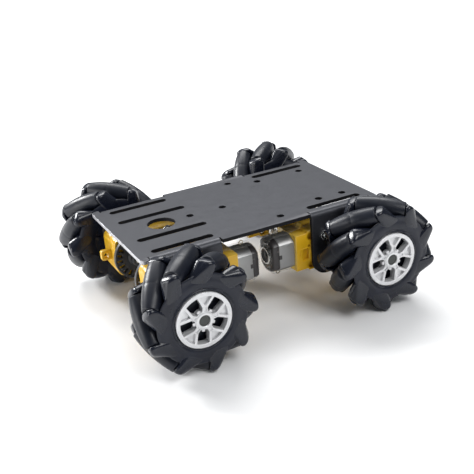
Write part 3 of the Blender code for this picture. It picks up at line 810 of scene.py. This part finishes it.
def gearbox_outline():
    """Side view of the gearbox with its lower neck at the motor."""
    corner = GEARBOX_CORNER
    step = GEARBOX_HIGH - NECK_HIGH
    upper = arc((GEARBOX_HEAD - corner, GEARBOX_HIGH - corner), corner, 0.0, pi / 2, 12)
    upper += [(NECK_START + step, GEARBOX_HIGH), (NECK_START, NECK_HIGH), (GEARBOX_END, NECK_HIGH)]
    return upper + [(x, -z) for x, z in reversed(upper)]


def tab_mesh():
    """Fixing tab with its hole."""
    start, end = GEARBOX_HEAD - 1.0, GEARBOX_HEAD + TAB_OUT
    outline = rounded_box(start, end, -TAB_HALF, TAB_HALF, 1.2)
    return upright(outline, [circle((GEARBOX_HEAD + TAB_OUT / 2, 0.0), 1.3, 20)], -1.5, 1.5, 0.3)


def gearbox_half(side):
    """One half shell: a plain layer at the seam, then one with the window, eyelet and screw pockets."""
    outline = gearbox_outline()
    through = [circle(centre, SCREW_HOLE, 20) for centre in SCREWS]
    through.append(circle((0, 0), SHAFT_RADIUS + 0.2, 24))
    low_x, high_x, low_z, high_z = WINDOW
    pockets = [rounded_box(low_x, high_x, low_z, high_z, 0.4), circle(EYELET, 0.75, 16)]
    pockets += [circle(centre, 2.1, 20) for centre in CASE_SCREWS]
    floor = GEARBOX_HALF - WINDOW_DEPTH
    near, far = sorted((side * SEAM, side * floor))
    plain = upright(outline, through, near, far, 0.12)
    near, far = sorted((side * (floor - 0.4), side * GEARBOX_HALF))
    return merge(plain, upright(outline, through + pockets, near, far, 0.35))


def gearbox_mesh():
    """Two half shells, the tab, the shaft collars, the strap hooks and ridges round the windows."""
    parts = [gearbox_half(1), gearbox_half(-1), tab_mesh()]
    low_x, high_x, low_z, high_z = WINDOW
    for side in (1, -1):
        face = side * GEARBOX_HALF
        end = face + side * 1.0
        collar = lathe([(2.95, face), (2.95, end), (3.8, end), (3.9, face)], 40, ring=True)
        outer = rounded_box(low_x - 1.6, high_x + 1.6, low_z - 1.2, high_z + 1.2, 0.6)
        inner = rounded_box(low_x - 0.9, high_x + 0.9, low_z - 0.6, high_z + 0.6, 0.5)
        near, far = sorted((face - side * 0.3, face + side * 0.25))
        parts += [collar, upright(outer, [inner], near, far, 0.1)]
        hook = upright([(-30.0, 10.0), (-27.4, 10.0), (-27.4, 12.9), (-28.2, 12.9)], [], -2.0, 2.0, 0.15)
        if side < 0:
            hook = moved(hook, (0, 0, 0), Matrix.Rotation(pi, 3, "X"))
        parts.append(hook)
    return merge(*parts)


def cross_recess_shade_bars(x, z, near, far, size):
    """Cross-shaped driver recess as two thin bars, whose dark finish is painted shade of the recess."""
    bars = []
    for turn in (radians(20), radians(110)):
        corners = ((size, 0.22), (size, -0.22), (-size, -0.22), (-size, 0.22))
        outline = [polar(reach, turn, aside) for reach, aside in corners]
        bars.append(upright([(x + u, z + v) for u, v in outline], [], near, far, 0.02, 1))
    return merge(*bars)


def pan_head(x, z, face, side, radius, height):
    """Screw head on a face that looks along side."""
    profile = [
        (radius, 0.0), (radius, 0.35), (radius * 0.93, height * 0.6), (radius * 0.7, height * 0.92),
        (radius * 0.42, height), (0.7, height), (0.5, height - 0.7), (0.05, height - 0.8),
    ]
    head = lathe(profile, 32)
    if side < 0:
        head = moved(head, (0, 0, 0), Matrix.Rotation(pi, 3, "X"))
    return moved(head, (x, face, z))


def fasteners_mesh():
    """Two long screws with heads inside and nuts on the ear, and the case screws."""
    parts = []
    for x, z in SCREWS:
        parts.append(pan_head(x, z, -GEARBOX_HALF, -1, *SCREW_HEAD))
        parts.append(rod((x, -GEARBOX_HALF, z), (x, 14.6, z), 1.45, 24))
        parts.append(upright(circle((x, z), NUT_RADIUS, 6), [], 11.75, 14.0, 0.25))
    for x, z in CASE_SCREWS:
        parts.append(pan_head(x, z, -GEARBOX_HALF + 1.4, -1, *CASE_SCREW_HEAD))
    return merge(*parts)


def screw_marks_mesh():
    """Dark driver crosses in the screw heads: painted shade where the cross recesses are."""
    marks = [cross_recess_shade_bars(x, z, -GEARBOX_HALF - 2.46, -GEARBOX_HALF - 1.6, 1.5) for x, z in SCREWS]
    marks += [cross_recess_shade_bars(x, z, -GEARBOX_HALF + 0.26, -GEARBOX_HALF + 1.0, 0.95) for x, z in CASE_SCREWS]
    return merge(*marks)


# Motors

def can_section(x, inset):
    """Ring across the can: round above and below, flat at both sides, with soft corners."""
    radius, flat = CAN_RADIUS - inset, CAN_FLAT - inset
    corner = max(CAN_CORNER - inset, 0.6)
    high = sqrt((radius - corner) ** 2 - (flat - corner) ** 2)
    lean = atan2(high, flat - corner)
    quarter = arc((flat - corner, high), corner, 0.0, lean, 6)
    quarter += arc((0.0, 0.0), radius, lean, pi / 2, 8)[1:]
    upper = quarter + [(-y, z) for y, z in reversed(quarter[:-1])]
    return [(x, y, z) for y, z in upper + [(y, -z) for y, z in reversed(upper)]]


def can_mesh():
    """Steel can with a rolled rear edge."""
    steps = [
        (GEARBOX_END + 0.4, 0.0), (CAN_REAR + 0.5, 0.0), (CAN_REAR + 0.15, 0.08), (CAN_REAR, 0.3),
        (CAN_REAR, 0.9),
    ]
    return loft([can_section(x, inset) for x, inset in steps])


def end_cap_mesh():
    """Plastic end cap with a rounded rear rim, a dished rear face, and a tab and a dot on each flat."""
    steps = [
        (CAN_REAR + 0.1, 0.45), (CAN_REAR - 0.6, 0.42), (END_CAP_REAR + 1.3, 0.45),
        (END_CAP_REAR + 0.6, 0.75), (END_CAP_REAR + 0.15, 1.35), (END_CAP_REAR, 2.1), (END_CAP_REAR, 3.0),
        (END_CAP_REAR + 0.35, 3.3),
    ]
    parts = [loft([can_section(x, inset) for x, inset in steps])]
    tab = rounded_box(CAN_REAR - 0.2, CAN_REAR + 1.5, -1.2, 1.2, 0.2)
    dot = circle((CAN_REAR - 0.7, 3.6), 0.45, 12)
    for side in (1, -1):
        near, far = sorted((side * (CAN_FLAT - 0.6), side * (CAN_FLAT + 0.06)))
        parts.append(upright(tab, [], near, far, 0.05, 1))
        parts.append(upright(dot, [], near - 0.1, far - 0.1, 0.05, 1))
    return merge(*parts)


def boss_mesh():
    """Light ring round the rear bearing, about the motor's axis."""
    depth = END_CAP_REAR - BOSS_REAR
    profile = [
        (3.9, -1.0), (BOSS_RADIUS, -1.0), (BOSS_RADIUS, depth - 0.3), (BOSS_RADIUS - 0.3, depth),
        (4.15, depth), (3.9, depth - 0.25),
    ]
    return turned_back(lathe(profile, 56, ring=True))


def bearing_mesh():
    """Dark bearing seat inside the boss, with the end of the motor's shaft. Its near-black colour is painted
    shade of the hole in the boss.
    """
    depth = END_CAP_REAR - BOSS_REAR
    profile = [
        (3.95, -1.0), (3.95, depth - 0.55), (3.6, depth - 0.5), (2.2, depth - 0.9), (1.6, depth - 0.7),
        (1.0, depth - 0.7), (0.95, depth - 0.35), (0.05, depth - 0.3),
    ]
    return turned_back(lathe(profile, 48))


def turned_back(mesh):
    """Point a shape made about Y along -X, starting at the end cap's rear."""
    return moved(mesh, (END_CAP_REAR, 0, 0), Matrix.Rotation(pi / 2, 3, "Z"))


def terminals_mesh():
    """A flat tag with an eye above and below the motor."""
    parts = []
    x, z = TERMINAL
    for side in (1, -1):
        centre = (x, side * z)
        tag = upright(circle(centre, 1.35, 24), [circle(centre, 0.75, 16)], -0.2, 0.2, 0.08)
        low, high = sorted((side * (z - 2.0), side * (z - 0.9)))
        stem = upright(rounded_box(x - 0.6, x + 0.6, low, high, 0.2), [], -0.2, 0.2, 0.08)
        parts += [tag, stem]
    return merge(*parts)


def strap_path():
    """Middle line of the strap's upper half in X and Z, from its hook to the motor's axis."""
    end = END_CAP_REAR - 0.35
    points = [(-26.6, 11.6), (-29.0, 11.6), (-33.0, 11.3), (-36.2, 10.7), (-38.0, 10.3), (-45.5, 10.3)]
    for angle in (radians(100), radians(125), radians(150), radians(170)):
        points.append((end + STRAP_TURN * (1 + cos(angle)), 7.2 + STRAP_TURN * sin(angle)))
    return points + [(end, 6.6), (end, 4.5)]


def strap_mesh():
    """Clear strap that goes over the motor and hooks on the gearbox above and below."""
    path = strap_path()
    left, right = [], []
    for i, (x, z) in enumerate(path):
        before, after = path[max(i - 1, 0)], path[min(i + 1, len(path) - 1)]
        length = hypot(after[0] - before[0], after[1] - before[1])
        nx, nz = -(after[1] - before[1]) / length, (after[0] - before[0]) / length
        left.append((x + nx * STRAP_HALF, z + nz * STRAP_HALF))
        right.append((x - nx * STRAP_HALF, z - nz * STRAP_HALF))
    upper = upright(left + right[::-1], [], -STRAP_REACH, STRAP_REACH, 0.08)
    lower = moved(upper.copy(), (0, 0, 0), Matrix.Rotation(pi, 3, "X"))
    washer = [(5.1, 0.1), (7.0, 0.1), (7.1, 0.2), (7.1, 0.45), (7.0, 0.5), (5.1, 0.5)]
    return merge(upper, lower, turned_back(lathe(washer, 48, ring=True)))


# Shafts and encoder discs

def disc_mesh():
    """Slotted disc with its hub."""
    windows = []
    for i in range(DISC_SLOTS):
        angle = tau * i / DISC_SLOTS
        corners = [(8.6, -0.65), (11.6, -0.95), (11.6, 0.95), (8.6, 0.65)]
        windows.append([polar(radius, angle, side) for radius, side in corners])
    far = DISC_FACE
    near = DISC_FACE - DISC_THICKNESS
    holes = windows + [circle((0, 0), SHAFT_RADIUS, 24)]
    disc = upright(circle((0, 0), DISC_RADIUS, 96), holes, near, far, 0.2)
    hub = [
        (2.75, far), (2.75, near - 4.8), (4.2, near - 4.8), (4.5, near - 4.5), (4.5, near - 0.6),
        (5.4, near), (5.4, near + 0.4), (5.2, far),
    ]
    rim = [
        (12.3, near - 0.35), (12.9, near - 0.35), (13.0, near - 0.2), (13.0, near + 0.3),
        (12.2, near + 0.3),
    ]
    return merge(disc, lathe(hub, 48, ring=True), lathe(rim, 96, ring=True))


def shaft_section(y, inset):
    """Ring across the shaft: round at the sides, flat above and below."""
    ring = []
    for i in range(32):
        turn = tau * (i + 0.5) / 32
        z = max(inset - SHAFT_FLAT, min(SHAFT_FLAT - inset, (SHAFT_RADIUS - inset) * sin(turn)))
        ring.append(((SHAFT_RADIUS - inset) * cos(turn), y, z))
    return ring


def shaft_mesh():
    """Double-ended shaft with two flats and softened ends."""
    edge, end = 0.25, SHAFT_REACH
    steps = [(-end, edge), (-end + edge, 0.0), (end - edge, 0.0), (end, edge)]
    return loft([shaft_section(y, inset) for y, inset in steps])


def show_motors(finishes, centres):
    pieces = (
        ("case_", gearbox_mesh(), "yellow", "chassis", "yellow_plastic", "gearbox_"),
        ("can_", can_mesh(), "steel", "chassis", "motor_steel", "motor_"),
        ("end_cap_", end_cap_mesh(), "end_cap", "chassis", "black_plastic", None),
        ("bearing_ring_", boss_mesh(), "screw", "chassis", "motor_steel", None),
        ("bearing_", bearing_mesh(), "bearing", "chassis", "black_plastic", None),
        ("terminals_", terminals_mesh(), "brass", "chassis", "motor_steel", None),
        ("strap_", strap_mesh(), "clear", "chassis", "silver_plastic", None),
        ("screws_", fasteners_mesh(), "screw", "chassis", "motor_steel", None),
        # The crosses use the near-black bearing finish, which paints the shade of their recesses.
        ("screw_cross_shade_", screw_marks_mesh(), "bearing", "chassis", "black_plastic", None),
        ("disc_", disc_mesh(), "disc", "{}_wheel", "black_plastic", "encoder_disc_"),
        ("shaft_", shaft_mesh(), "shaft", "{}_wheel", "black_plastic", None),
    )
    for name, mesh, surface, body, slot, node in pieces:
        data = to_data(name + "shape", mesh, finishes[surface])
        put_in_corners(name, data, centres, body, slot, node)


# Deck

def quarter_outline(length, width, bend, axle_drop):
    """Flat sheet's outline in the +X +Y quarter, from the long side's middle to the short side's."""
    edge, start = width / 2, width / 2 - BEND_OUTER
    relief = start - RELIEF_DEPTH
    foot = start + bend + axle_drop - BEND_OUTER + EAR_BELOW_AXLE
    near, far = EAR_X
    points = [(near - RELIEF_WIDTH, edge), (near - RELIEF_WIDTH, relief), (near, relief)]
    points += arc((near + EAR_CORNER, foot - EAR_CORNER), EAR_CORNER, pi, pi / 2, 12)
    points += arc((far - EAR_CORNER, foot - EAR_CORNER), EAR_CORNER, pi / 2, 0.0, 12)
    points += [(far, relief), (far + RELIEF_WIDTH, relief), (far + RELIEF_WIDTH, edge)]
    return points + arc((length / 2 - DECK_CORNER, edge - DECK_CORNER), DECK_CORNER, pi / 2, 0.0, 8)


def deck_holes(axle, on_ear):
    """Every slot and hole of the flat sheet."""
    holes = [circle((CABLE_HOLE[0], 0.0), CABLE_HOLE[1], 64)]
    holes += [circle(centre, DECK_HOLE, 24) for centre in DECK_HOLES]
    for side in (1, -1):
        holes += [slot_outline(low, high, side * y) for low, high, y in SLOTS]
    for side_x, side_y in SIDES.values():
        holes.append(circle((side_x * axle, side_y * on_ear(0.0)), SHAFT_HOLE, 32))
        for x, z in SCREWS:
            holes.append(circle((side_x * (axle + x), side_y * on_ear(z)), SCREW_HOLE, 20))
    return holes


def deck_mesh(length, width, axle, axle_drop):
    """Flat sheet with its holes, folded along the four ears. Its top is at zero."""
    start = width / 2 - BEND_OUTER
    bend = (BEND_OUTER - SHEET / 2) * pi / 2
    quarter = quarter_outline(length, width, bend, axle_drop)
    outline = quarter + [(x, -y) for x, y in reversed(quarter)]
    outline += [(-x, -y) for x, y in quarter] + [(-x, y) for x, y in reversed(quarter)]
    holes = deck_holes(axle, lambda z: start + bend + axle_drop - BEND_OUTER - z)
    mesh = plate(outline, holes, -SHEET, 0.0, DECK_EDGE, 2)
    # Upright faces and the steeper parts of their rounded edges take the painted-shade copy of the sheet
    # finish; the faces at both ends take the bare cut edge.
    for face in mesh.faces:
        if abs(face.normal.z) < 0.9:
            at_end = abs(face.calc_center_median().x) > length / 2 - DECK_CORNER
            face.material_index = 2 if at_end else 1
    for side in (1, -1):
        for i in range(BEND_STEPS + 1):
            line = side * (start + bend * i / BEND_STEPS)
            whole = mesh.verts[:] + mesh.edges[:] + mesh.faces[:]
            plane = {"plane_co": (0, line, 0), "plane_no": (0, 1, 0)}
            bmesh.ops.bisect_plane(mesh, geom=whole, dist=1e-5, **plane)
    for vert in mesh.verts:
        past = abs(vert.co.y) - start
        if past <= 0 or not EAR_X[0] - 0.01 < abs(vert.co.x) < EAR_X[1] + 0.01:
            continue
        side = 1 if vert.co.y > 0 else -1
        reach = BEND_OUTER + vert.co.z
        turn = min(past / bend, 1.0) * pi / 2
        drop = max(past - bend, 0.0)
        vert.co.y = side * (start + reach * sin(turn))
        vert.co.z = reach * cos(turn) - BEND_OUTER - drop
    return mesh


def show_deck(finishes, centres):
    low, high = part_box("deck")
    axle = centres["rear_right"]
    size = (high - low) / MM
    mesh = deck_mesh(size.x, size.y, axle.x / MM, (high.z - axle.z) / MM)
    surfaces = [finishes[name] for name in ("anodised", "painted_shade_wall", "cut_edge")]
    data = to_data("deck_sheet", mesh, *surfaces, sharp=50)
    place = Matrix.Translation((0, 0, high.z))
    made = put("deck_sheet", data, place, "chassis", "anodised_aluminium", "deck")
    step = made.modifiers.new("flat faces", "WEIGHTED_NORMAL")
    step.keep_sharp = True
    step.weight = 100


# Studio

def show_floor():
    """Pale floor wide enough to fill the view."""
    mesh = bmesh.new()
    corners = [(-1, -1), (1, -1), (1, 1), (-1, 1)]
    mesh.faces.new([mesh.verts.new((x * FLOOR_REACH, y * FLOOR_REACH, 0.0)) for x, y in corners])
    data = bpy.data.meshes.new("floor")
    mesh.to_mesh(data)
    mesh.free()
    made = finish("floor", (0.92, 0.92, 0.92), 0.6, grain=40.0, bump=0.02, blotch=0.005, uneven=0.03)
    data.materials.append(made)
    floor = bpy.data.objects.new("floor", data)
    bpy.context.collection.objects.link(floor)


def add_light(name, place, target, size, power):
    """Soft rectangular light that faces its target."""
    lamp = bpy.data.lights.new(name, "AREA")
    lamp.shape = "RECTANGLE"
    lamp.size, lamp.size_y = size
    lamp.energy = power
    made = bpy.data.objects.new(name, lamp)
    made.location = place
    made.rotation_euler = (Vector(target) - Vector(place)).to_track_quat("-Z", "Y").to_euler()
    bpy.context.collection.objects.link(made)


def add_world():
    """Faint cool light from all round."""
    world = bpy.data.worlds.new("studio")
    world.use_nodes = True
    background = world.node_tree.nodes["Background"]
    background.inputs["Color"].default_value = (*WORLD_COLOUR, 1.0)
    background.inputs["Strength"].default_value = WORLD_STRENGTH
    bpy.context.scene.world = world


def add_camera():
    """Camera at the photograph's place and angle."""
    azimuth, elevation, roll = CAMERA_AZIMUTH, CAMERA_ELEVATION, CAMERA_ROLL
    back = Vector((sin(azimuth) * cos(elevation), -cos(azimuth) * cos(elevation), sin(elevation)))
    right = Vector((0, 0, 1)).cross(back).normalized()
    up = back.cross(right)
    across = right * cos(roll) + up * sin(roll)
    above = up * cos(roll) - right * sin(roll)
    lens = bpy.data.cameras.new("camera")
    lens.lens = CAMERA_LENS
    lens.sensor_width = CAMERA_SENSOR
    lens.clip_start = 0.01
    made = bpy.data.objects.new("camera", lens)
    turn = Matrix((across, above, back)).transposed().to_4x4()
    made.matrix_world = Matrix.Translation(CAMERA_PLACE) @ turn
    bpy.context.collection.objects.link(made)
    bpy.context.scene.camera = made


def main():
    finishes = make_finishes()
    axles = axle_centres()
    show_rollers(finishes)
    show_hubs(finishes, axles)
    show_caps(finishes, axles)
    show_motors(finishes, motor_centres())
    show_deck(finishes, axles)
    show_floor()
    add_world()
    for name, (place, target, size, power) in LIGHTS.items():
        add_light(name, place, target, size, power)
    add_camera()
    bpy.context.scene.view_settings.view_transform = "Standard"


main()
